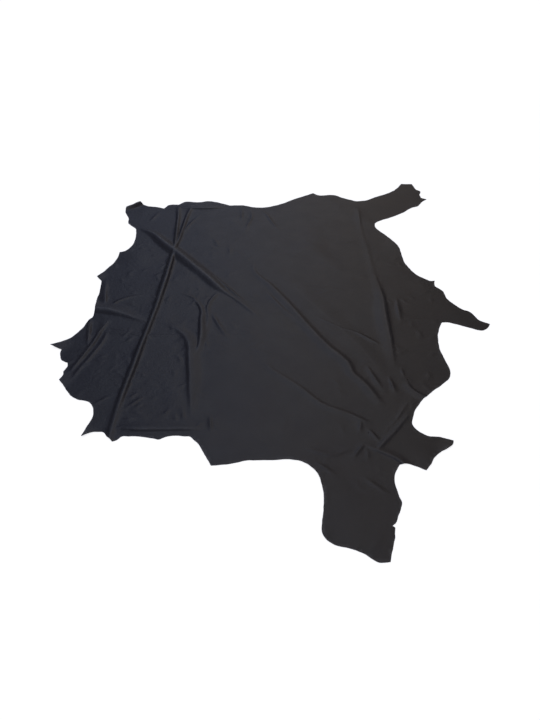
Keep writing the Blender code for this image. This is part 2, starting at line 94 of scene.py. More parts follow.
MAIN_FOLDS = (
    Fold("long pinched fold", 2.3, (
        (-60.8, 66, 0, 1.6, 2), (-61.6, 56, 8, 1.8, 2.2), (-62.2, 41, 10, 2, 2.8),
        (-62.8, 23, 10, 2, 3.2), (-63.6, 11, 9, 2, 3), (-64.6, -4, 7.6, 2, 2.2),
        (-66.2, -20, 7.4, 2, 2.1), (-67.5, -34, 8.4, 2, 2.4), (-68.6, -48, 8.6, 2, 2.6),
        (-69.6, -58, 8, 2, 2.4), (-70.6, -69, 5.6, 2, 2.1), (-71, -80, 4.4, 2, 2),
        (-70.8, -92, 6, 2, 2.4)), 2.3),
    Fold("long pinched fold, left upper branch", 1.6, (
        (-65.8, 106, 4, 2.6, 2.4), (-64.6, 97, 6, 2.2, 2), (-63.4, 80, 7, 2.2, 1.8),
        (-62.4, 66, 9, 2.2, 1.8), (-62, 56, 8, 2.4, 1.8))),
    Fold("long pinched fold, right upper branch", 1.6, (
        (-56.6, 108, 4, 2.4, 2.4), (-58.2, 98, 6, 2.2, 1.8), (-59.4, 82, 7, 2, 1.8),
        (-60.6, 66, 7, 2, 1.8), (-62, 56, 5, 2, 1.8))),
    Fold("great diagonal fold", 1.7, (
        (-88, 80.6, 0, 2, 2), (-84.4, 78, 4, 2.8, 2.6), (-78.2, 73.4, 9, 4, 3.8), (-70, 63.4, 14, 5, 5.2),
        (-59, 50.8, 15, 5.4, 5.4), (-48.4, 38, 14, 5.4, 5.2), (-38.6, 26, 12.4, 5, 4.8),
        (-31, 16, 9.4, 4, 3.8), (-27.4, 11.6, 4.4, 3, 1.8), (-18, 1.9, 3.4, 3, 1.6),
        (-12.6, -4.6, 2.4, 3, 1.5), (-7.8, -10.4, 0, 3, 1.4)), 2),
    Fold("long fold across the middle", 1.6, (
        (-12.6, 43, 0, 1.4, 3), (-11.4, 32, 2, 1.6, 3), (-3, 19.6, 3.4, 2, 3.6),
        (4.8, 6.6, 4.8, 2.6, 4.6), (10.2, -3, 5.4, 2.8, 5), (17, -16, 5.8, 3, 5), (27, -33, 6, 3, 5),
        (35.8, -45.6, 6, 2.8, 4.4), (37, -51, 5.4, 2.6, 4), (41, -56.4, 5.4, 2.8, 4),
        (44.8, -63.6, 5, 2.8, 4), (48.4, -71.6, 0, 2.4, 3)), 1.8),
    Fold("swell beside the long fold", 2, (
        (2, 34, 0, 8, 8), (14, 12, 2, 9, 9), (32, -16, 2.6, 9, 9), (46, -40, 2.4, 7, 7),
        (54, -58, 0, 5, 5))),
    Fold("low fold below the long fold", 1.6, (
        (-4.6, 12.4, 0, 1.5, 2), (-1.6, 7, 2.2, 1.6, 2.2), (4.4, -2.6, 2.6, 1.6, 2.4),
        (10.6, -10.9, 2.4, 1.6, 2.4), (16, -18.9, 1.8, 1.6, 2.4), (21, -26, 0, 1.6, 2.4))),
    Fold("right upright fold", 2.4, (
        (58, 109, 0, 1.3, 3), (57.8, 101, 2.4, 1.3, 3.4), (57.2, 88, 2, 1.3, 3.4),
        (57.2, 72, 1.2, 1.3, 3.4), (58, 55, 1.6, 1.3, 3.4), (58.6, 30, 1.8, 1.3, 4),
        (59.4, 18, 3, 1.5, 5), (60, 8.1, 7, 2, 6), (59.2, -4.1, 9, 2.3, 7), (58.7, -20.3, 8.6, 2.3, 7),
        (58.4, -32, 5, 2, 6), (58, -40, 2, 1.5, 4), (57.6, -48, 0, 1.3, 3)), 1.7),
    Fold("short left fold", 1.6, (
        (-101.5, -2.6, 17, 9, 4.2), (-97, -3.2, 17, 9, 4.2), (-91, -4, 15, 8, 3.9), (-84, -6, 11, 7, 3.3),
        (-75, -10, 6, 5, 2.3), (-66.5, -13.5, 0, 3, 1.8)), 2.4),
    Fold("curved fold, inner line", 1.7, (
        (-46, 6.6, 0, 1.6, 1.1), (-42, 1.9, 4.2, 2.4, 1.2), (-39.2, -5.6, 5.6, 3, 1.4),
        (-39, -12, 7.6, 3.6, 1.6), (-38.4, -18, 8.4, 4, 1.7), (-38, -25, 7.6, 4, 1.6),
        (-38.6, -34, 4.4, 3.4, 1.4), (-40.4, -41, 0, 2.6, 1.2)), 2.2),
    Fold("curved fold, outer line", 1.7, (
        (-31.6, 12, 0, 2, 1.2), (-33.8, 8.1, 3.4, 2.2, 1.2), (-36.6, -0.7, 3.8, 2.2, 1.2),
        (-35.4, -9.9, 2.4, 2.4, 2), (-35.6, -17.2, 2.4, 2.4, 2), (-36.6, -26, 0, 2.2, 2))),
    Fold("lower upright fold", 1.9, (
        (-57, -14, 0, 3, 2), (-52.4, -18.2, 3, 4, 2.4), (-47, -23.6, 6, 5, 2.9), (-43.8, -30, 8, 6, 3),
        (-42.4, -39.5, 7.6, 6.4, 2.6), (-40.8, -50.4, 7, 6.4, 2.3), (-39.7, -60.7, 5.6, 5.6, 2.2),
        (-38.6, -68, 3.4, 4.4, 1.9), (-37.6, -78, 0, 3, 1.6)), 1.5),
    Fold("buckle of the top edge", 1.7, (
        (-66, 107, 0, 7, 1.5), (-57.4, 106.4, 6, 7.6, 1.6), (-47.4, 105.9, 9, 8, 1.7),
        (-40.4, 106.4, 7, 6.4, 1.6), (-33, 108, 0, 4, 1.4)), 2.4),
    Fold("curled upper left tip", 1.8, (
        (-104, 104.4, 8, 3, 3), (-98.6, 107.8, 18, 3, 3.4), (-94.6, 111.2, 20, 3, 3.4),
        (-91, 115, 12, 3, 3))),
    Fold("rolled bottom edge", 1.7, (
        (-70, -83, 0, 4, 1.4), (-62.6, -84, 6, 5, 1.5), (-50, -84.2, 6, 5, 1.4), (-38, -84, 5, 4.4, 1.4),
        (-30.6, -84.2, 0, 4, 1.3)), 2.4),
    Fold("left edge, outer wrinkle", 1.7, (
        (-98, -11, 0, 1.4, 1.6), (-97, -16, 4.6, 1.4, 1.6), (-95.6, -24, 5, 1.5, 1.6),
        (-94.2, -32, 0, 1.4, 1.6))),
    Fold("left edge, inner wrinkle", 1.7, (
        (-87.6, -9.6, 0, 1.6, 1.6), (-90, -20, 5, 1.6, 1.7), (-92.4, -31.9, 5.4, 1.6, 1.8),
        (-95.4, -41.9, 4.6, 1.6, 1.8), (-99.4, -53, 0, 1.6, 2))),
    Fold("left edge, innermost wrinkle", 1.7, (
        (-86.4, -17, 0, 1.6, 1.8), (-87, -27, 3.4, 1.6, 2), (-90, -38, 3.6, 1.6, 2),
        (-94.6, -50, 2.6, 1.6, 2), (-97.6, -60, 0, 1.6, 2))),
    Fold("left edge, upper wrinkle", 2.4, (
        (-97.4, 26, 0, 1.4, 2.6), (-95.4, 13, 4, 1.4, 3.4), (-93.2, 3, 5, 1.4, 3.4),
        (-91.6, -3.4, 0, 1.4, 2.6)), 1.8),
    Fold("fold across the lower right", 1.5, (
        (60.6, -74, 0, 1.2, 2.4), (54.2, -82, 4, 1.2, 2.6), (50.5, -86.3, 4.4, 1.2, 2.6),
        (43.6, -93.6, 4, 1.2, 2.2), (41, -96.6, 0, 1.1, 2))),
    Fold("light crest above the fold across", 1.5, (
        (65, -64, 0, 1.3, 1.3), (58.8, -70.6, 1.6, 1.3, 1.4), (53.2, -78.6, 1.9, 1.3, 1.4),
        (48, -84.6, 1.4, 1.3, 1.4), (44.6, -88.4, 0, 1.2, 1.2))),
    Fold("tuck at the right notch", 1.5, (
        (62, -54.6, 0, 1.3, 3), (62.3, -59.6, 4.4, 1.4, 4), (65.4, -63.6, 5, 1.4, 4.4),
        (69.6, -67, 5, 1.5, 4.4)), 1.8),
    Fold("tuck beside the lower right tab", 1.4, (
        (36.6, -92, 0, 2.4, 1.1), (41.6, -94.8, 3.4, 3, 1.2), (46.6, -97.4, 4.4, 3.4, 1.3),
        (50.2, -99.8, 4.8, 3.4, 1.3), (54, -104.6, 4.8, 3.4, 1.3)), 2),
    Fold("lower diagonal fold", 1.6, (
        (-6.5, -41, 0, 1.8, 3), (-2, -48, 2, 2, 3), (5, -54.2, 2.6, 2, 3.4), (11.4, -60, 3, 2, 3.4),
        (21.9, -70.8, 3.6, 2, 3.4), (31.4, -75.4, 4, 2, 3.4), (37.6, -79, 4, 2, 3),
        (41.6, -81.6, 0, 2, 3))),
)

# Small creases and wrinkles, most of them two to four millimetres high
FINE_FOLDS = (
    Fold("upper left branch, its light fold", 1.5, (
        (-60, 68, 0, 1.6, 1.6), (-56, 84, 3, 1.6, 1.6), (-48.2, 100, 0, 1.6, 1.6))),
    Fold("second crease under the buckle", 1.5, (
        (-56, 100.4, 0, 1.6, 1.2), (-45, 100.6, 1.8, 1.8, 1.2), (-34, 100.4, 0, 1.6, 1.2))),
    Fold("crease left of the buckle", 1.5, (
        (-75, 103.2, 0, 1.6, 1.3), (-70, 103.4, 2.4, 1.6, 1.3), (-65, 103, 0, 1.6, 1.3))),
    Fold("crease beside the diagonal fold", 1.4, (
        (-58, 52, 0, 1.3, 1.6), (-52, 45.6, 2.2, 1.3, 1.6), (-41, 33.9, 2.6, 1.3, 1.6),
        (-30.1, 21.1, 3, 1.3, 1.8), (-20.3, 8.1, 3, 1.3, 1.8), (-14, 0, 0, 1.3, 1.6))),
    Fold("wrinkle below the curled tip", 1.8, (
        (-82.8, 87, 0, 1.8, 1.8), (-80.5, 94, 2.4, 1.8, 1.8), (-77.5, 102, 0, 1.8, 1.8))),
    Fold("first wrinkle under the top edge", 1.6, (
        (-21.8, 108, 0, 1.4, 1.4), (-21.6, 98, 2.6, 1.4, 1.4), (-21.2, 87, 0, 1.4, 1.4))),
    Fold("second wrinkle under the top edge", 1.6, (
        (-16.5, 108, 0, 1.4, 1.4), (-14.8, 94, 2.4, 1.4, 1.4), (-17.2, 84, 2, 1.4, 1.4),
        (-19.6, 73, 0, 1.4, 1.4))),
    Fold("slanting wrinkle under the top edge", 1.6, (
        (-9, 104, 0, 1.4, 1.5), (-4.6, 97, 2.4, 1.4, 1.5), (-0.8, 87, 2.4, 1.4, 1.5),
        (5, 74, 0, 1.4, 1.5))),
    Fold("short wrinkle in the upper middle", 1.6, (
        (-27.6, 62, 0, 1.4, 1.4), (-27.4, 54, 2, 1.4, 1.4), (-27, 46, 0, 1.4, 1.4))),
    Fold("curved wrinkle at the left", 1.6, (
        (-72, 9.8, 0, 1.4, 1.6), (-79.1, 7.9, 2.6, 1.4, 1.6), (-84.1, 5.4, 3.6, 1.4, 1.6),
        (-87.4, 2.6, 3.6, 1.4, 1.6), (-89, -3, 0, 1.4, 1.6))),
    Fold("level crease at the left", 1.4, (
        (-92, -20.8, 0, 1.4, 1.2), (-84, -22.2, 3, 1.5, 1.2), (-77.2, -22.8, 3.4, 1.5, 1.2),
        (-64.1, -24.2, 3.4, 1.5, 1.2), (-53.8, -24.4, 3, 1.5, 1.2), (-44, -24, 0, 1.4, 1.2))),
    Fold("short level crease at the left", 1.5, (
        (-90, -18, 0, 1.2, 1.1), (-81, -19.6, 3, 1.2, 1.1), (-72, -20.8, 0, 1.2, 1.1))),
    Fold("crease towards the curved fold", 1.5, (
        (-54, 10.6, 0, 1.4, 1.3), (-50, 9.6, 2, 1.4, 1.3), (-44.6, 6.4, 3, 1.4, 1.3),
        (-41.6, 1.4, 0, 1.4, 1.3))),
    Fold("soft crease right of the curved fold", 1.8, (
        (-34.4, -5, 0, 1.8, 1.8), (-32.6, -9, 2.4, 1.8, 1.8), (-27.6, -19.5, 2.6, 1.8, 1.8),
        (-22, -29.6, 0, 1.8, 1.8))),
    Fold("level crease right of the curved fold", 1.5, (
        (-37, -24, 0, 1.3, 1.2), (-30, -24.6, 1.8, 1.3, 1.2), (-23, -25, 0, 1.3, 1.2))),
    Fold("level crease in the lower middle", 1.5, (
        (-31, -20.4, 0, 1.3, 1.2), (-18, -22.6, 1.6, 1.3, 1.2), (-6, -25.4, 0, 1.3, 1.2))),
    Fold("short crease below the curved fold", 1.5, (
        (-35.8, -25.6, 0, 1.3, 1.3), (-34.7, -30, 2.4, 1.3, 1.3), (-33.8, -35, 0, 1.3, 1.3))),
    Fold("slanting crease in the middle", 1.6, (
        (-13.4, -33, 0, 1.4, 1.3), (-7, -36.2, 1.6, 1.4, 1.3), (0, -39, 0, 1.4, 1.3))),
    Fold("short crease in the lower middle", 1.6, (
        (-21.6, -18.4, 0, 1.4, 1.3), (-15, -21, 1.4, 1.4, 1.3), (-8, -24, 0, 1.4, 1.3))),
    Fold("short upright crease at the lower right", 1.5, (
        (37.6, -76.6, 0, 1.6, 1.3), (36.8, -82, 3, 1.6, 1.3), (35.6, -87, 0, 1.6, 1.3))),
    Fold("slanting crease at the lower right", 1.5, (
        (39.4, -83, 0, 1.3, 1.8), (42, -87.6, 3.4, 1.4, 2), (45, -92, 0, 1.3, 1.8))),
    Fold("first short crease in the lower right", 1.5, (
        (53.6, -52, 0, 1.4, 1.3), (54.6, -58, 4, 1.4, 1.6), (55.4, -65, 0, 1.4, 1.3))),
    Fold("second short crease in the lower right", 1.5, (
        (60.6, -46.6, 0, 1.3, 1.3), (60.8, -50.6, 2.6, 1.3, 1.3), (61, -54.4, 0, 1.3, 1.3))),
    Fold("third short crease in the lower right", 1.6, (
        (43.6, -43, 0, 1.4, 2), (47, -54, 4, 1.8, 2.4), (50.4, -63, 0, 1.4, 2))),
    Fold("short crease above the flap", 1.5, (
        (38.4, -90.6, 0, 1.3, 1.4), (34.6, -95.2, 3.4, 1.3, 1.4), (31, -100, 0, 1.3, 1.4))),
    Fold("thin crease in the long flap", 1.5, (
        (38.4, -92.6, 0, 1.2, 1.1), (38, -97, 2, 1.2, 1.1), (37.6, -102, 0, 1.2, 1.1))),
    Fold("level crease at the flap's head", 1.8, (
        (11, -94, 0, 2, 1.6), (17, -96, 2.4, 2.2, 1.6), (22, -97.4, 3, 2.2, 1.7), (28, -96, 2, 2, 1.6),
        (33, -93.4, 0, 2, 1.6))),
    Fold("crease at the flap's left shoulder", 1.6, (
        (14.6, -100, 0, 1.6, 1.5), (19.2, -103.6, 2.8, 1.7, 1.6), (25, -108.4, 0, 1.6, 1.5))),
    Fold("slanting crease in the long flap", 1.7, (
        (34, -107.6, 0, 1.6, 1.5), (38.6, -111.6, 2.6, 1.7, 1.6), (45, -117, 0, 1.6, 1.5))),
    Fold("slanting crease at the lower left", 1.5, (
        (-67.2, -72.6, 0, 1.5, 1.4), (-63.6, -69, 3.2, 1.6, 1.4), (-59.6, -65, 0, 1.5, 1.4))),
    Fold("slanting crease left of the pinched fold", 1.5, (
        (-83, -71, 0, 1.4, 1.3), (-78.6, -67.6, 2.4, 1.4, 1.3), (-74.6, -64.4, 0, 1.4, 1.3))),
    Fold("small crease at the bottom corner", 1.6, (
        (-29.2, -76, 0, 1.5, 1.5), (-28.6, -81, 3, 1.5, 1.5), (-27.8, -86.4, 0, 1.5, 1.5))),
    Fold("slanting crease at the bottom corner", 1.6, (
        (-36.6, -85.6, 0, 1.4, 1.4), (-34.2, -83, 2.8, 1.5, 1.4), (-31.4, -80.4, 0, 1.4, 1.4))),
    Fold("first light stroke above the bottom edge", 1.6, (
        (-51, -79, 0, 1.3, 1.3), (-48.6, -75, 2.2, 1.4, 1.4), (-46.4, -71.6, 0, 1.3, 1.3))),
    Fold("second light stroke above the bottom edge", 1.6, (
        (-42.2, -72.6, 0, 1.3, 1.3), (-41, -76.6, 2.2, 1.4, 1.4), (-40, -80.4, 0, 1.3, 1.3))),
    Fold("long slanting crease at the right", 1.5, (
        (17.6, -5, 0, 1.3, 1.8), (26.5, -12.6, 3, 1.4, 2), (35.4, -18.9, 3.6, 1.4, 2),
        (41.4, -21.5, 3, 1.4, 2), (45.1, -24.5, 3.8, 1.4, 2), (56, -33.4, 0, 1.4, 1.6))),
    Fold("thin level crease at the right", 1.5, (
        (64.6, -10.4, 0, 1.3, 1.2), (74, -11.4, 2, 1.4, 1.2), (88, -12, 0, 1.3, 1.2))),
    Fold("short crease right of the upright fold", 1.6, (
        (67.6, 8, 0, 2, 1.4), (67, -3.2, 4.4, 2.2, 2), (66.4, -15, 0, 2, 1.4))),
    Fold("level crease in the right middle", 1.6, (
        (7, 17, 0, 1.5, 1.3), (28, 15.4, 1.6, 1.6, 1.3), (50, 14, 0, 1.5, 1.3))),
    Fold("level crease in the upper right", 1.6, (
        (33, 61, 0, 1.5, 1.3), (45, 63, 1.4, 1.6, 1.3), (56, 65.6, 0, 1.5, 1.3))),
)

# Short soft wrinkles all over, closer together at the left, in centimetres and with millimetres of height
WRINKLE_SEED = 7
Wrinkles = namedtuple("Wrinkles", "count left right near far shortest longest lowest highest")
WRINKLE_FIELDS = (
    Wrinkles(150, -106, -34, -86, 66, 3.5, 10, 1.2, 3.2),
    Wrinkles(30, -60, 60, 40, 108, 5, 13, 0.5, 1.2),
    Wrinkles(50, 44, 100, -82, 46, 4, 10, 0.8, 2.2),
    Wrinkles(40, -34, 50, -104, 34, 6, 16, 0.5, 1.4),
    Wrinkles(16, 14, 46, -150, -100, 5, 14, 0.5, 1.3),
)
WRINKLE_PEAK = 1.7
WRINKLE_SPREAD = 1.2
WRINKLE_SPREAD_RANGE = (0.8, 1.5)
WRINKLE_BEND = 0.24

# Places where the sheet rises off the surface towards a tip, with X, Y and radius in centimetres
Rise = namedtuple("Rise", "name x y radius height")
RISES = (
    Rise("left spike", -115, -30.6, 13, 14),
    Rise("small left point", -103.5, -55, 9, 9),
    Rise("lower left spike", -84.5, -89, 9, 8),
    Rise("left tooth", -104.5, 27.4, 8, 8),
    Rise("soft swell at the left", -84, 44, 13, 4),
    Rise("end of the lower right tab", 76, -96, 9, 9),
)

# The hide never lies quite flat: broad low waves, in metres
WAVE_SEED = 11
WAVE_COUNT = 40
WAVE_SHORTEST = 0.16
WAVE_LONGEST = 0.6
WAVE_HEIGHT = 0.7 * MM
WAVE_POWER = 1.5

# Along the crests of folds that are this high, this far to each side, the grain gets a painted highlight
# and is rubbed smoother
FULL_HIGHLIGHT_HEIGHT = 12 * MM
HIGHLIGHT_REACH = 9 * MM

# Order of the hide's materials
GRAIN_SLOT = 0
FLESH_SLOT = 1
EDGE_SLOT = 2

# Grain side: bluer towards -X and browner towards +X, a painted tint of the cool and warm light; painted
# shade in its dark furrows; and paler, smoother rubbed folds, where the paler colour is a painted highlight
# along the crests
GRAIN_PAINTED_COOL_LIGHT = (0.0105, 0.0108, 0.0205)
GRAIN_PAINTED_WARM_LIGHT = (0.026, 0.0198, 0.0172)
GRAIN_PALER = (0.028, 0.0282, 0.0285)
GRAIN_FURROW_SHADE = (0.011, 0.011, 0.012)
# Painted highlight colour along the high folds' crests and the rim
GRAIN_PAINTED_HIGHLIGHT = (0.085, 0.086, 0.092)
LIGHT_TINT_REACH = 0.75
LIGHT_TINT_WANDER = 0.12
PALER_SHARE = 0.3
FURROW_SHADE_SHARE = 0.5
HIGHLIGHT_AND_RUBBING_LEAST = 0.35
HIGHLIGHT_AND_RUBBING_MOST = 0.7
GRAIN_ROUGHNESS = 0.385
ROUGHNESS_DRIFT = 0.015
FURROW_ROUGHNESS = 0.12
RUBBED_ROUGHNESS = -0.08

# Slow patches over the grain side, in cells per metre, and the span of their noise that shows
# The painted light tint's border between cool and warm wanders in these patches
LIGHT_TINT_PATCHES = 4.0
PALER_PATCHES = 3.2
ROUGHNESS_PATCHES = 9.0
PATCH_SPAN = (0.3, 0.7)
# Patches that break up the painted highlight and the rubbing
HIGHLIGHT_AND_RUBBING_PATCHES = 45.0
HIGHLIGHT_AND_RUBBING_SPAN = (0.45, 0.75)

# Pebbles and pores of the grain, and soft crinkles that are strongest at the hide's left
PEBBLES_PER_METRE = 760.0
PORES_PER_METRE = 2600.0
WOBBLES_PER_METRE = 260.0
PEBBLE_WOBBLE = 1.6 * MM
PEBBLE_BORDER = 0.22
PORE_SHARE = 0.35
GRAIN_DEPTH = 0.05 * MM
CRINKLES_PER_METRE = 30.0
THIN_CRINKLES_PER_METRE = 90.0
THIN_CRINKLE_SHARE = 0.15
CRINKLE_DEPTH = 2.6 * MM
CRINKLED_FROM = -0.6
CRINKLED_TO = -0.25
CRINKLE_ELSEWHERE = 0.22
CRINKLE_LEAST = 0.45
CRINKLE_PATCHES = 5.0
CRINKLE_SPAN = (0.35, 0.65)

# Flesh side and cut edge: short fibres in clumps
FLESH_DARK = (0.032, 0.031, 0.033)
FLESH_LIGHT = (0.075, 0.071, 0.072)
FLESH_FIBRES = 900.0
FLESH_ROUGHNESS = (0.86, 0.97)
FLESH_DEPTH = 0.35 * MM
EDGE_DARK = (0.012, 0.012, 0.013)
EDGE_LIGHT = (0.036, 0.035, 0.037)
EDGE_FIBRES = 2400.0
EDGE_ROUGHNESS = (0.82, 0.95)
EDGE_DEPTH = 0.2 * MM
EDGE_SHEEN = 0.25
CLUMPS_PER_METRE = 120.0
CLOUDS_PER_METRE = 7.0
STRAND_DETAIL = 5.0
STRAND_BEND = 1.4
STRAND_TONE = 0.8
CLUMP_TONE = 0.6
TONE_SPAN = (0.8, 1.6)
CLUMP_HEIGHT = 0.7
NAP_STRENGTH = 0.75

# The view: a phone camera at standing height, looking 45 degrees down
CAMERA_PLACE = (-0.0265, -2.2145, 1.80)
CAMERA_PITCH = math.radians(45)
CAMERA_LENS = 26.0
CAMERA_SENSOR = 36.0

FLOOR_RADIUS = 40.0
FLOOR_DROP = 0.4 * MM
FLOOR_SIDES = 64
FLOOR_COLOUR = (0.85, 0.85, 0.85, 1.0)
FLOOR_ROUGHNESS = 0.9
FLOOR_GLOW = 0.75

# The light: a tall panel beyond the hide, and the dim room. Places are parts of a unit direction.
PANEL_MIDDLE = 0.005
PANEL_INNER = 0.03
PANEL_OUTER = 0.44
PANEL_FOOT_START = 0.15
PANEL_FOOT_END = 0.69
PANEL_FOOT = 0.15
PANEL_NEAR_START = -0.35
PANEL_NEAR_END = 0.2
FAR_PANEL = 0.99
NEAR_PANEL = 0.2
OVERHEAD_START = 0.78
OVERHEAD_END = 0.95
OVERHEAD_GAIN = 1.35
ROOM_LIGHT = 0.098
ROOM_LIGHT_LOW = 0.03
ROOM_DIM_END = 0.45

# Dimmer light from both sides and from behind the view, and the pale backdrop that shows behind the floor
SIDE_START = 0.76
SIDE_END = 0.92
SIDE_PANEL = 0.32
BEHIND_START = -0.5
BEHIND_END = -0.85
BEHIND_PANEL = 0.5
LOW_END = 0.3
LOW_SHARE = 0.4
BACKDROP = (0.93, 0.93, 0.94, 1.0)

# The panel and the room are cooler at -X and warmer at +X, and plain far out to the sides and behind
TINT_REACH = 0.4
COOL_PANEL = (0.62, 0.88, 1.33)
WARM_PANEL = (1.2, 1.03, 0.78)
COOL_ROOM = (0.6, 0.46, 0.98)
WARM_ROOM = (1.0, 0.64, 0.5)
PLAIN_ROOM = (0.84, 0.86, 1.02)
PLAIN_START = 0.35
PLAIN_END = 0.5


def curve_through(knots, step):
    """Rows about a step apart on a smooth curve through the knots. The first two columns are places."""
    spans = np.linalg.norm(np.diff(knots[:, :2], axis=0), axis=1)
    slopes = np.diff(knots, axis=0) / spans[:, None]
    tangents = [slopes[0]]
    for i in range(1, len(spans)):
        both = spans[i - 1] + spans[i]
        tangents.append((slopes[i - 1] * spans[i] + slopes[i] * spans[i - 1]) / both)
    tangents.append(slopes[-1])
    rows = []
    for i, span in enumerate(spans):
        share = np.linspace(0.0, 1.0, max(1, round(span / step)), endpoint=False)[:, None]
        near_start = 2 * share**3 - 3 * share**2 + 1
        leaving = (share**3 - 2 * share**2 + share) * span
        arriving = (share**3 - share**2) * span
        rows.append(
            near_start * knots[i]
            + leaving * tangents[i]
            + (1 - near_start) * knots[i + 1]
            + arriving * tangents[i + 1]
        )
    rows.append(knots[-1:])
    return np.concatenate(rows)


def underside_rim(node):
    """The plan places of the underside's rim, in order round the hide."""
    copy = bmesh.new()
    copy.from_mesh(node.data)
    bmesh.ops.remove_doubles(copy, verts=copy.verts, dist=WELD)
    copy.normal_update()
    first = min(copy.faces, key=lambda face: face.normal.z)
    underside = {first}
    waiting = [first]
    while waiting:
        face = waiting.pop()
        for edge in face.edges:
            if edge.calc_face_angle(math.pi) > WALL_ANGLE:
                continue
            for beside in edge.link_faces:
                if beside not in underside:
                    underside.add(beside)
                    waiting.append(beside)
    following = {}
    for face in underside:
        for loop in face.loops:
            if loop.link_loop_radial_next.face not in underside:
                following[loop.vert] = loop.link_loop_next.vert
    start = min(following, key=lambda vert: (vert.co.y, vert.co.x))
    rim = [start]
    while following[rim[-1]] is not start:
        rim.append(following[rim[-1]])
    places = np.array([(vert.co.x, vert.co.y) for vert in rim])
    copy.free()
    return places


def turns_at(places):
    """How far the closed line turns at each place."""
    arriving = places - np.roll(places, 1, axis=0)
    leaving = np.roll(places, -1, axis=0) - places
    cross = arriving[:, 0] * leaving[:, 1] - arriving[:, 1] * leaving[:, 0]
    return np.abs(np.arctan2(cross, (arriving * leaving).sum(axis=1)))


def smooth_rim(places):
    """The rim at a close step: smooth between its corners, with a slightly uneven cut."""
    corners = np.flatnonzero(turns_at(places) > RIM_CORNER)
    places = np.roll(places, -corners[0], axis=0)
    corners = list(corners - corners[0]) + [len(places)]
    closed = np.vstack((places, places[:1]))
    rows = [curve_through(closed[a:b + 1], RIM_STEP)[:-1] for a, b in zip(corners, corners[1:])]
    rim = np.concatenate(rows)
    sideways = np.roll(rim, -1, axis=0) - np.roll(rim, 1, axis=0)
    sideways = np.column_stack((sideways[:, 1], -sideways[:, 0]))
    sideways /= np.linalg.norm(sideways, axis=1)[:, None]
    random = np.random.default_rng(RIM_SEED)
    wander = random.normal(0.0, 1.0, len(rim))
    for _ in range(RIM_SMOOTHINGS):
        wander = (np.roll(wander, 1) + 2 * wander + np.roll(wander, -1)) / 4
    wander *= RIM_WANDER / wander.std()
    return rim + sideways * wander[:, None]


class Crest:
    """A fold's crest line, with its height and spread at each of its points."""

    def __init__(self, fold):
        knots = np.array(fold.stations)
        knots = knots * (CM, CM, MM, CM, CM)
        self.peak = fold.peak
        self.right_peak = fold.right_peak or fold.peak
        self.rows = curve_through(knots, CREST_STEP)
        self.rows[:, :2] -= TABLE_MIDDLE
        self.rows[:, 2:] = np.maximum(self.rows[:, 2:], 0.0)
        self.widest = self.rows[:, 3:].max()
        self.narrowest = self.rows[:, 3:].min()

    def near(self, places, margin):
        """Indices of the places inside the fold's box and a margin."""
        low = self.rows[:, :2].min(axis=0) - margin
        high = self.rows[:, :2].max(axis=0) + margin
        return np.flatnonzero(((places > low) & (places < high)).all(axis=1))

    def measure(self, places):
        """For each place: distance to the crest, that distance in shares of the spread, peak and height."""
        start = self.rows[:-1, :2]
        along = np.diff(self.rows[:, :2], axis=0)
        offset = places[:, None, :] - start
        share = np.clip((offset * along).sum(axis=2) / (along * along).sum(axis=1), 0.0, 1.0)
        gap = offset - share[:, :, None] * along
        distance = np.linalg.norm(gap, axis=2)
        nearest = distance.argmin(axis=1)
        each = np.arange(len(places))
        distance = distance[each, nearest]
        share = share[each, nearest][:, None]
        beside = self.rows[nearest] + share * (self.rows[nearest + 1] - self.rows[nearest])
        turn = along[nearest]
        offset = offset[each, nearest]
        on_left = turn[:, 0] * offset[:, 1] - turn[:, 1] * offset[:, 0] > 0.0
        spread = np.maximum(np.where(on_left, beside[:, 3], beside[:, 4]), LEAST_SPREAD)
        peak = np.where(on_left, self.peak, self.right_peak)
        return distance, distance / spread, peak, beside[:, 2]


def scattered_wrinkles():
    """Short soft wrinkles at random places, each slightly bent."""
    random = np.random.default_rng(WRINKLE_SEED)
    folds = []
    for field in WRINKLE_FIELDS:
        for _ in range(field.count):
            across = random.uniform(field.left, field.right)
            middle = np.array((across, random.uniform(field.near, field.far)))
            length = random.uniform(field.shortest, field.longest)
            angle = random.uniform(0.0, math.tau)
            half = 0.5 * length * np.array((math.cos(angle), math.sin(angle)))
            sideways = np.array((-half[1], half[0])) * random.normal(0.0, WRINKLE_BEND)
            height = random.uniform(field.lowest, field.highest)
            left, right = random.uniform(*WRINKLE_SPREAD_RANGE, 2) * WRINKLE_SPREAD
            folds.append(Fold("short wrinkle", WRINKLE_PEAK, (
                (*(middle - half), 0, left, right),
                (*(middle + sideways), height, left, right),
                (*(middle + half), 0, left, right))))
    return folds


def broad_waves(places):
    """Low uneven waves of the sheet, which rests on the surface between them."""
    random = np.random.default_rng(WAVE_SEED)
    total = np.zeros(len(places))
    for _ in range(WAVE_COUNT):
        length = WAVE_SHORTEST * (WAVE_LONGEST / WAVE_SHORTEST) ** random.random()
        angle = random.uniform(0.0, math.tau)
        phase = random.uniform(0.0, math.tau)
        way = np.array((math.cos(angle), math.sin(angle))) * math.tau / length
        total += np.sin(places @ way + phase) * length / WAVE_LONGEST
    total /= total.std()
    return WAVE_HEIGHT * np.maximum(total, 0.0) ** WAVE_POWER


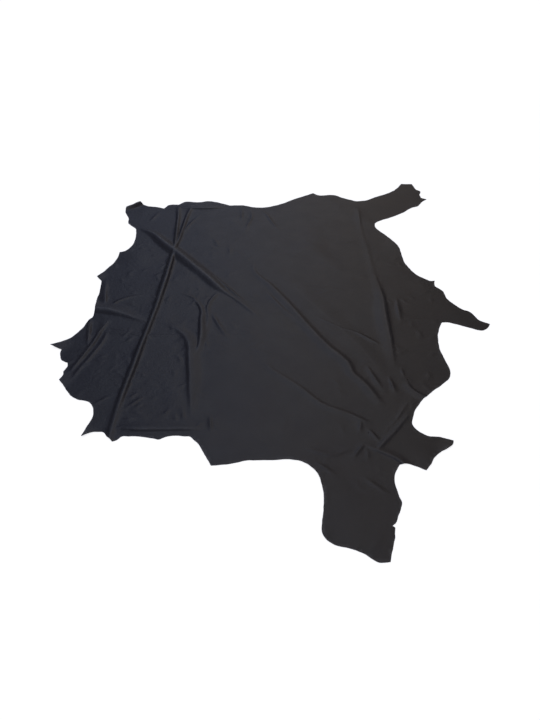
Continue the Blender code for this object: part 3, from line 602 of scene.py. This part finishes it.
def sheet_heights(places, crests):
    """Height of the hide's underside over the surface at each place."""
    total = np.zeros(len(places))
    for crest in crests:
        near = crest.near(places, crest.widest)
        if len(near) == 0:
            continue
        _, across, peak, height = crest.measure(places[near])
        across = np.minimum(across, 1.0)
        total[near] += (height * (1.0 - across**peak) ** 2) ** RIDGE_BLEND
    for rise in RISES:
        middle = np.array((rise.x, rise.y)) * CM - TABLE_MIDDLE
        across = np.minimum(np.linalg.norm(places - middle, axis=1) / (rise.radius * CM), 1.0)
        total += (rise.height * MM * (1.0 - across**2) ** 2) ** RIDGE_BLEND
    return total ** (1.0 / RIDGE_BLEND) + broad_waves(places)


def crest_highlight(places, crests):
    """How strong the painted highlight is at each place: most of all along the crests of the high folds."""
    highlight = np.zeros(len(places))
    for crest in crests:
        near = crest.near(places, HIGHLIGHT_REACH)
        if len(near) == 0:
            continue
        distance, _, _, height = crest.measure(places[near])
        highlight_and_rubbing = np.clip(1.0 - distance / HIGHLIGHT_REACH, 0.0, 1.0) * np.clip(height / FULL_HIGHLIGHT_HEIGHT, 0.0, 1.0)
        highlight[near] = np.maximum(highlight[near], highlight_and_rubbing)
    return highlight


def plan_places(verts):
    """The plan places of vertices, as an array."""
    return np.array([vert.co.xy[:] for vert in verts])


def once_each(items):
    """The items in the order in which they first come, so that each run cuts the mesh alike."""
    return list(dict.fromkeys(items))


def slice_faces(sheet, faces, axis, places):
    """Cuts the faces by a plane at each place along an axis, the middle one first."""
    if not places or not faces:
        return
    middle = len(places) // 2
    edges = once_each(edge for face in faces for edge in face.edges)
    verts = once_each(vert for face in faces for vert in face.verts)
    point = [0.0, 0.0, 0.0]
    point[axis] = places[middle]
    normal = [0.0, 0.0, 0.0]
    normal[axis] = 1.0
    cut = bmesh.ops.bisect_plane(
        sheet, geom=list(faces) + edges + verts, dist=SLICE_SLACK, plane_co=point, plane_no=normal
    )
    both = [item for item in cut["geom"] if isinstance(item, bmesh.types.BMFace)]
    below = [face for face in both if face.calc_center_median()[axis] < places[middle]]
    above = [face for face in both if face.calc_center_median()[axis] >= places[middle]]
    slice_faces(sheet, below, axis, places[:middle])
    slice_faces(sheet, above, axis, places[middle + 1:])


def covered_by_fold(crest, distance, across, height):
    """Whether a place is within a fold's spread."""
    return (across < FINER_REACH) & (height > FINER_HEIGHT)


def close_to_crest(crest, distance, across, height):
    """Whether a place is close beside a narrow fold's crest."""
    return (distance < FINEST_REACH * crest.narrowest) & (height > FINEST_HEIGHT)


def refine(sheet, crests, reach):
    """Halves the cells of the faces within reach of a fold."""
    faces = sheet.faces[:]
    centres = np.array([face.calc_center_median().xy[:] for face in faces])
    chosen = np.zeros(len(faces), dtype=bool)
    for crest in crests:
        near = crest.near(centres, crest.widest + CELL)
        if len(near) == 0:
            continue
        distance, across, _, height = crest.measure(centres[near])
        covered = reach(crest, distance, across, height)
        chosen[near[covered]] = True
    edges = once_each(edge for face, wanted in zip(faces, chosen) if wanted for edge in face.edges)
    bmesh.ops.subdivide_edges(sheet, edges=edges, cuts=1, use_grid_fill=True)


def cut_along(sheet, crest):
    """Cuts the sheet along a crest and along steps of its steep side, so that each is one clean line."""
    faces = sheet.faces[:]
    centres = np.array([face.calc_center_median().xy[:] for face in faces])
    near = crest.near(centres, crest.widest)
    for start in range(0, len(crest.rows) - 1, CUT_ROWS):
        first = crest.rows[start]
        last = crest.rows[min(start + CUT_ROWS, len(crest.rows) - 1)]
        height, left, right = 0.5 * (first[2:] + last[2:])
        if height < FINEST_HEIGHT:
            continue
        length = np.linalg.norm(last[:2] - first[:2])
        along = (last[:2] - first[:2]) / length
        sideways = np.array((-along[1], along[0]))
        offset = centres[near] - first[:2]
        run = offset @ along
        beside = np.abs(offset @ sideways) < max(left, right)
        group = [faces[i] for i in near[(run >= 0.0) & (run < length) & beside]]
        steps = [0.0]
        if height > STEEP_SIDE * left:
            steps += [share * left for share in CUT_SHARES]
        if height > STEEP_SIDE * right:
            steps += [-share * right for share in CUT_SHARES]
        for step in steps:
            if not group:
                break
            edges = once_each(edge for face in group for edge in face.edges)
            verts = once_each(vert for face in group for vert in face.verts)
            cut = bmesh.ops.bisect_plane(
                sheet,
                geom=group + edges + verts,
                dist=CUT_SLACK,
                plane_co=(*(first[:2] + step * sideways), 0.0),
                plane_no=(*sideways, 0.0),
            )
            group = [item for item in cut["geom"] if isinstance(item, bmesh.types.BMFace)]


def open_sheet(rim, main, fine, narrow):
    """The flat open sheet inside the rim, cut into cells that are finer at the folds."""
    sheet = bmesh.new()
    # A mark on each vertex for the painted highlight along the crests and the paler, smoother rim
    sheet.verts.layers.float.new("crest_highlight_and_rim")
    sheet.faces.new([sheet.verts.new((x, y, 0.0)) for x, y in rim])
    low = rim.min(axis=0)
    high = rim.max(axis=0)
    for axis in (0, 1):
        cuts = int((high[axis] - low[axis]) / CELL)
        places = [low[axis] + (high[axis] - low[axis]) * (i + 1) / (cuts + 1) for i in range(cuts)]
        slice_faces(sheet, sheet.faces[:], axis, places)
    refine(sheet, main + fine, covered_by_fold)
    refine(sheet, narrow, close_to_crest)
    for crest in main:
        cut_along(sheet, crest)
    return sheet


def raise_folds(sheet, crests):
    """Lifts the open sheet onto its folds, in triangles that face up."""
    verts = sheet.verts[:]
    for vert, height in zip(verts, sheet_heights(plan_places(verts), crests)):
        vert.co.z = height
    sheet.normal_update()
    if sum(face.normal.z for face in sheet.faces) < 0.0:
        bmesh.ops.reverse_faces(sheet, faces=sheet.faces)
    bmesh.ops.triangulate(sheet, faces=sheet.faces, quad_method="SHORT_EDGE", ngon_method="BEAUTY")
    sheet.normal_update()


def give_thickness(sheet, crests):
    """Closes the sheet: grain side up, flesh side down, and the cut edge between them, with the painted
    highlight along the main folds' crests and the grain side marked paler and smoother all along the rim.
    """
    crest_highlight_and_rim = sheet.verts.layers.float["crest_highlight_and_rim"]
    flesh = sheet.faces[:]
    raised = bmesh.ops.extrude_face_region(sheet, geom=flesh, use_keep_orig=True)
    grain_verts = [item for item in raised["geom"] if isinstance(item, bmesh.types.BMVert)]
    grain = {item for item in raised["geom"] if isinstance(item, bmesh.types.BMFace)}
    normals = {vert: vert.normal.copy() for vert in grain_verts}
    # The painted highlight along the main folds' crests
    for vert, highlight in zip(grain_verts, crest_highlight(plan_places(grain_verts), crests)):
        vert[crest_highlight_and_rim] = highlight
        vert.co += normals[vert] * THICKNESS
    bmesh.ops.reverse_faces(sheet, faces=flesh)
    flesh = set(flesh)
    for face in sheet.faces:
        face.smooth = True
        if face in grain:
            face.material_index = GRAIN_SLOT
        elif face in flesh:
            face.material_index = FLESH_SLOT
        else:
            face.material_index = EDGE_SLOT
            for edge in face.edges:
                edge.smooth = False
            # The rim gets the full mark as well: paler and smoother grain there
            for vert in face.verts:
                vert[crest_highlight_and_rim] = 1.0


def make_hide():
    """The hide as one closed sheet, laid out over its folds."""
    rim = smooth_rim(underside_rim(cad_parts["hide"]))
    main = [Crest(fold) for fold in MAIN_FOLDS]
    fine = [Crest(fold) for fold in FINE_FOLDS]
    narrow = [crest for crest in main + fine if crest.narrowest < NARROW_SIDE]
    fine += [Crest(fold) for fold in scattered_wrinkles()]
    sheet = open_sheet(rim, main, fine, narrow)
    raise_folds(sheet, main + fine)
    give_thickness(sheet, main)
    mesh = bpy.data.meshes.new("leather_hide")
    sheet.to_mesh(mesh)
    sheet.free()
    hide = bpy.data.objects.new("leather_hide", mesh)
    bpy.context.collection.objects.link(hide)
    return hide


def math_node(tree, operation, first, second):
    """A math node of the tree on two inputs, each a socket or a number."""
    node = tree.nodes.new("ShaderNodeMath")
    node.operation = operation
    for socket, value in zip(node.inputs, (first, second)):
        if isinstance(value, bpy.types.NodeSocket):
            tree.links.new(value, socket)
        else:
            socket.default_value = value
    return node.outputs[0]


def plus(tree, first, second):
    """The sum of two sockets or numbers."""
    return math_node(tree, "ADD", first, second)


def times(tree, first, second):
    """The product of two sockets or numbers."""
    return math_node(tree, "MULTIPLY", first, second)


def distance_from(tree, value, middle):
    """How far the value is from a middle, to either side."""
    return math_node(tree, "ABSOLUTE", math_node(tree, "SUBTRACT", value, middle), 0.0)


def eased(tree, value, start, end, low, high):
    """The value's smooth step from low to high between start and end."""
    node = tree.nodes.new("ShaderNodeMapRange")
    node.interpolation_type = "SMOOTHSTEP"
    tree.links.new(value, node.inputs["Value"])
    node.inputs["From Min"].default_value = start
    node.inputs["From Max"].default_value = end
    node.inputs["To Min"].default_value = low
    node.inputs["To Max"].default_value = high
    return node.outputs["Result"]


def noise(tree, place, scale, detail=2.0):
    """Fractal noise at a scale in cells per metre."""
    node = tree.nodes.new("ShaderNodeTexNoise")
    tree.links.new(place, node.inputs["Vector"])
    node.inputs["Scale"].default_value = scale
    node.inputs["Detail"].default_value = detail
    return node.outputs["Fac"]


def parts_of(tree, place):
    """The three parts of a vector."""
    node = tree.nodes.new("ShaderNodeSeparateXYZ")
    tree.links.new(place, node.inputs[0])
    return node.outputs


def mixed_colour(tree, share, first, second):
    """The colour between two by a share."""
    node = tree.nodes.new("ShaderNodeMix")
    node.data_type = "RGBA"
    tree.links.new(share, node.inputs["Factor"])
    for label, value in (("A", first), ("B", second)):
        if isinstance(value, bpy.types.NodeSocket):
            tree.links.new(value, node.inputs[label])
        else:
            node.inputs[label].default_value = (*value, 1.0)
    return node.outputs["Result"]


def raise_surface(tree, shader, height, depth, strength):
    """Bump from a height of zero to one, with its real depth in metres."""
    bump = tree.nodes.new("ShaderNodeBump")
    bump.inputs["Distance"].default_value = depth
    bump.inputs["Strength"].default_value = strength
    tree.links.new(height, bump.inputs["Height"])
    tree.links.new(bump.outputs["Normal"], shader.inputs["Normal"])


def new_material(name):
    """An empty node material and its Principled shader."""
    material = bpy.data.materials.new(name)
    material.use_nodes = True
    return material, material.node_tree.nodes["Principled BSDF"]


def new_group(name, inputs, outputs):
    """A shader node group with float inputs and outputs, plus the object's own coordinates."""
    group = bpy.data.node_groups.new(name, "ShaderNodeTree")
    group.interface.new_socket("Place", in_out="INPUT", socket_type="NodeSocketVector")
    for label, value in inputs:
        socket = group.interface.new_socket(label, in_out="INPUT", socket_type="NodeSocketFloat")
        socket.default_value = value
    for label in outputs:
        group.interface.new_socket(label, in_out="OUTPUT", socket_type="NodeSocketFloat")
    return group, group.nodes.new("NodeGroupInput").outputs, group.nodes.new("NodeGroupOutput").inputs


def place_group(tree, group):
    """The group's node in a material, on the object's own coordinates."""
    node = tree.nodes.new("ShaderNodeGroup")
    node.node_tree = group
    where = tree.nodes.new("ShaderNodeTexCoord").outputs["Object"]
    tree.links.new(where, node.inputs["Place"])
    return node, where


def pebble_group():
    """Fine pebbled grain: rounded pebbles of about a millimetre, with hair-thin furrows between them."""
    given_floats = (("Pebbles per metre", PEBBLES_PER_METRE),)
    group, given, result = new_group("pebbled grain", given_floats, ("Height", "Furrow"))
    place = given["Place"]
    wobble = group.nodes.new("ShaderNodeTexNoise")
    group.links.new(place, wobble.inputs["Vector"])
    wobble.inputs["Scale"].default_value = WOBBLES_PER_METRE
    bent = group.nodes.new("ShaderNodeVectorMath")
    bent.operation = "MULTIPLY_ADD"
    group.links.new(wobble.outputs["Color"], bent.inputs[0])
    bent.inputs[1].default_value = (PEBBLE_WOBBLE, PEBBLE_WOBBLE, PEBBLE_WOBBLE)
    group.links.new(place, bent.inputs[2])
    pebbles = group.nodes.new("ShaderNodeTexVoronoi")
    pebbles.feature = "DISTANCE_TO_EDGE"
    group.links.new(bent.outputs["Vector"], pebbles.inputs["Vector"])
    group.links.new(given["Pebbles per metre"], pebbles.inputs["Scale"])
    border = eased(group, pebbles.outputs["Distance"], 0.0, PEBBLE_BORDER, 0.0, 1.0)
    pores = times(group, noise(group, place, PORES_PER_METRE, detail=3.0), PORE_SHARE)
    group.links.new(plus(group, border, pores), result["Height"])
    group.links.new(math_node(group, "SUBTRACT", 1.0, border), result["Furrow"])
    return group


def crinkle_group():
    """Soft crinkles of one to three centimetres, close together at the left and faint elsewhere."""
    given_floats = (("Crinkles per metre", CRINKLES_PER_METRE),)
    group, given, result = new_group("soft crinkle", given_floats, ("Height",))
    place = given["Place"]
    wide = group.nodes.new("ShaderNodeTexNoise")
    group.links.new(place, wide.inputs["Vector"])
    group.links.new(given["Crinkles per metre"], wide.inputs["Scale"])
    ridges = distance_from(group, wide.outputs["Fac"], 0.5)
    thin = times(group, noise(group, place, THIN_CRINKLES_PER_METRE), THIN_CRINKLE_SHARE)
    left = eased(group, parts_of(group, place)["X"], CRINKLED_FROM, CRINKLED_TO, 1.0, CRINKLE_ELSEWHERE)
    patches = eased(group, noise(group, place, CRINKLE_PATCHES), *CRINKLE_SPAN, CRINKLE_LEAST, 1.0)
    height = times(group, plus(group, ridges, thin), times(group, left, patches))
    group.links.new(height, result["Height"])
    return group


def fibre_group():
    """Short loose fibres, as on a flesh side or a cut edge."""
    given_floats = (("Fibres per metre", FLESH_FIBRES),)
    group, given, result = new_group("loose fibres", given_floats, ("Height", "Tone"))
    place = given["Place"]
    strands = group.nodes.new("ShaderNodeTexNoise")
    group.links.new(place, strands.inputs["Vector"])
    group.links.new(given["Fibres per metre"], strands.inputs["Scale"])
    strands.inputs["Detail"].default_value = STRAND_DETAIL
    strands.inputs["Distortion"].default_value = STRAND_BEND
    clumps = noise(group, place, CLUMPS_PER_METRE, detail=3.0)
    clouds = noise(group, place, CLOUDS_PER_METRE)
    tone = plus(group, clouds, times(group, clumps, CLUMP_TONE))
    tone = plus(group, tone, times(group, strands.outputs["Fac"], STRAND_TONE))
    group.links.new(eased(group, tone, *TONE_SPAN, 0.0, 1.0), result["Tone"])
    height = plus(group, strands.outputs["Fac"], times(group, clumps, CLUMP_HEIGHT))
    group.links.new(height, result["Height"])
    return group


def grain_side(pebbles, crinkle):
    """Soft semi-matt black grain, with fine pebbles, crinkles, a slow drift of tone, a painted tint of the
    cool and warm light, painted shade in the furrows and a painted highlight on the smoother rubbed fold
    crests.
    """
    material, shader = new_material("black grain side")
    tree = material.node_tree
    grain, place = place_group(tree, pebbles)
    creases, _ = place_group(tree, crinkle)
    crest_highlight_and_rim = tree.nodes.new("ShaderNodeAttribute")
    crest_highlight_and_rim.attribute_name = "crest_highlight_and_rim"

    # Painted tint of the light: the grain is bluer towards -X under the cool light, browner and lighter
    # towards +X under the warm light
    wander = eased(tree, noise(tree, place, LIGHT_TINT_PATCHES), *PATCH_SPAN, -LIGHT_TINT_WANDER, LIGHT_TINT_WANDER)
    side = plus(tree, parts_of(tree, place)["X"], wander)
    base = mixed_colour(tree, eased(tree, side, -LIGHT_TINT_REACH, LIGHT_TINT_REACH, 0.0, 1.0), GRAIN_PAINTED_COOL_LIGHT, GRAIN_PAINTED_WARM_LIGHT)
    paler = eased(tree, noise(tree, place, PALER_PATCHES, detail=3.0), *PATCH_SPAN, 0.0, PALER_SHARE)
    base = mixed_colour(tree, paler, base, GRAIN_PALER)
    # Painted shade in the hair-thin furrows between the pebbles
    base = mixed_colour(tree, times(tree, grain.outputs["Furrow"], FURROW_SHADE_SHARE), base, GRAIN_FURROW_SHADE)
    # Painted highlight along the high folds' crests, and paler grain along the rim, broken into patches;
    # the same mark makes the grain smoother, as rubbing does
    mottle = noise(tree, place, HIGHLIGHT_AND_RUBBING_PATCHES, detail=3.0)
    mottle = eased(tree, mottle, *HIGHLIGHT_AND_RUBBING_SPAN, HIGHLIGHT_AND_RUBBING_LEAST, HIGHLIGHT_AND_RUBBING_MOST)
    highlight_and_rubbing = times(tree, crest_highlight_and_rim.outputs["Fac"], mottle)
    base = mixed_colour(tree, highlight_and_rubbing, base, GRAIN_PAINTED_HIGHLIGHT)
    tree.links.new(base, shader.inputs["Base Color"])

    drift = noise(tree, place, ROUGHNESS_PATCHES, detail=4.0)
    drift = eased(tree, drift, *PATCH_SPAN, -ROUGHNESS_DRIFT, ROUGHNESS_DRIFT)
    roughness = plus(tree, drift, GRAIN_ROUGHNESS)
    roughness = plus(tree, roughness, times(tree, grain.outputs["Furrow"], FURROW_ROUGHNESS))
    roughness = plus(tree, roughness, times(tree, highlight_and_rubbing, RUBBED_ROUGHNESS))
    tree.links.new(roughness, shader.inputs["Roughness"])

    fine = times(tree, grain.outputs["Height"], GRAIN_DEPTH / CRINKLE_DEPTH)
    raise_surface(tree, shader, plus(tree, fine, creases.outputs["Height"]), CRINKLE_DEPTH, 1.0)
    return material


def fibrous(name, fibres, count, dark, light, roughness, depth):
    """A dull fibrous face of the leather, between a dark and a light tone."""
    material, shader = new_material(name)
    tree = material.node_tree
    nap, _ = place_group(tree, fibres)
    nap.inputs["Fibres per metre"].default_value = count
    tree.links.new(mixed_colour(tree, nap.outputs["Tone"], dark, light), shader.inputs["Base Color"])
    tree.links.new(eased(tree, nap.outputs["Tone"], 0.0, 1.0, *roughness), shader.inputs["Roughness"])
    raise_surface(tree, shader, nap.outputs["Height"], depth, NAP_STRENGTH)
    return material, shader


def flesh_side(fibres):
    """Dark grey napped flesh side, with cloudy patches."""
    name = "dark flesh side"
    return fibrous(name, fibres, FLESH_FIBRES, FLESH_DARK, FLESH_LIGHT, FLESH_ROUGHNESS, FLESH_DEPTH)[0]


def cut_edge(fibres):
    """Fibrous dark cut edge."""
    name = "fibrous cut edge"
    edge, shader = fibrous(name, fibres, EDGE_FIBRES, EDGE_DARK, EDGE_LIGHT, EDGE_ROUGHNESS, EDGE_DEPTH)
    shader.inputs["Specular IOR Level"].default_value = EDGE_SHEEN
    return edge


def make_floor():
    """A plain pale floor that is lit from within, as a light table is."""
    shape = bmesh.new()
    bmesh.ops.create_circle(shape, cap_ends=True, segments=FLOOR_SIDES, radius=FLOOR_RADIUS)
    for vert in shape.verts:
        vert.co.z = -FLOOR_DROP
    mesh = bpy.data.meshes.new("floor")
    shape.to_mesh(mesh)
    shape.free()
    floor = bpy.data.objects.new("floor", mesh)
    bpy.context.collection.objects.link(floor)
    material, shader = new_material("plain pale floor")
    shader.inputs["Base Color"].default_value = FLOOR_COLOUR
    shader.inputs["Roughness"].default_value = FLOOR_ROUGHNESS
    shader.inputs["Specular IOR Level"].default_value = 0.0
    shader.inputs["Emission Color"].default_value = (1.0, 1.0, 1.0, 1.0)
    shader.inputs["Emission Strength"].default_value = FLOOR_GLOW
    mesh.materials.append(material)


def make_light():
    """Soft studio light: a tall wide panel beyond the hide, with dimmer ones at the sides and behind."""
    world = bpy.data.worlds.new("pale room")
    bpy.context.scene.world = world
    world.use_nodes = True
    tree = world.node_tree
    background = tree.nodes["Background"]
    way = tree.nodes.new("ShaderNodeTexCoord").outputs["Generated"]
    x, y, z = parts_of(tree, way)
    off_middle = distance_from(tree, x, PANEL_MIDDLE)
    across = eased(tree, off_middle, PANEL_INNER, PANEL_OUTER, 1.0, 0.0)
    foot = eased(tree, z, PANEL_FOOT_START, PANEL_FOOT_END, PANEL_FOOT, 1.0)
    far = eased(tree, y, PANEL_NEAR_START, PANEL_NEAR_END, NEAR_PANEL, FAR_PANEL)
    overhead = eased(tree, z, OVERHEAD_START, OVERHEAD_END, 1.0, OVERHEAD_GAIN)
    panel = times(tree, times(tree, across, foot), times(tree, far, overhead))
    room = eased(tree, z, 0.0, ROOM_DIM_END, ROOM_LIGHT_LOW, ROOM_LIGHT)
    sides = eased(tree, distance_from(tree, x, 0.0), SIDE_START, SIDE_END, 0.0, SIDE_PANEL)
    behind = eased(tree, y, BEHIND_END, BEHIND_START, BEHIND_PANEL, 0.0)
    low_dim = eased(tree, z, 0.0, LOW_END, LOW_SHARE, 1.0)
    surround = times(tree, plus(tree, sides, behind), low_dim)
    strength = plus(tree, plus(tree, panel, room), surround)
    tint = eased(tree, x, -TINT_REACH, TINT_REACH, 0.0, 1.0)
    panel_colour = mixed_colour(tree, tint, COOL_PANEL, WARM_PANEL)
    room_colour = mixed_colour(tree, tint, COOL_ROOM, WARM_ROOM)
    panel_share = math_node(tree, "DIVIDE", panel, strength)
    colour = mixed_colour(tree, panel_share, room_colour, panel_colour)
    plain = eased(tree, off_middle, PLAIN_START, PLAIN_END, 0.0, 1.0)
    plain_behind = eased(tree, y, BEHIND_START, 0.0, 1.0, 0.0)
    plain = math_node(tree, "MAXIMUM", plain, plain_behind)
    tree.links.new(mixed_colour(tree, plain, colour, PLAIN_ROOM), background.inputs["Color"])
    tree.links.new(strength, background.inputs["Strength"])

    backdrop = tree.nodes.new("ShaderNodeBackground")
    backdrop.inputs["Color"].default_value = BACKDROP
    seen = tree.nodes.new("ShaderNodeLightPath").outputs["Is Camera Ray"]
    either = tree.nodes.new("ShaderNodeMixShader")
    tree.links.new(seen, either.inputs[0])
    tree.links.new(background.outputs[0], either.inputs[1])
    tree.links.new(backdrop.outputs[0], either.inputs[2])
    tree.links.new(either.outputs[0], tree.nodes["World Output"].inputs["Surface"])


def make_camera():
    """The view from the hide's near side, down onto all of it."""
    data = bpy.data.cameras.new("camera")
    data.lens = CAMERA_LENS
    data.sensor_width = CAMERA_SENSOR
    camera = bpy.data.objects.new("camera", data)
    camera.location = CAMERA_PLACE
    camera.rotation_euler = (CAMERA_PITCH, 0.0, 0.0)
    bpy.context.collection.objects.link(camera)
    bpy.context.scene.camera = camera


make_camera()
hide = make_hide()
fibres = fibre_group()
for finish in (grain_side(pebble_group(), crinkle_group()), flesh_side(fibres), cut_edge(fibres)):
    hide.data.materials.append(finish)
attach(hide, "root")
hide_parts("hide")
make_floor()
make_light()
bpy.context.scene.view_settings.view_transform = "Standard"
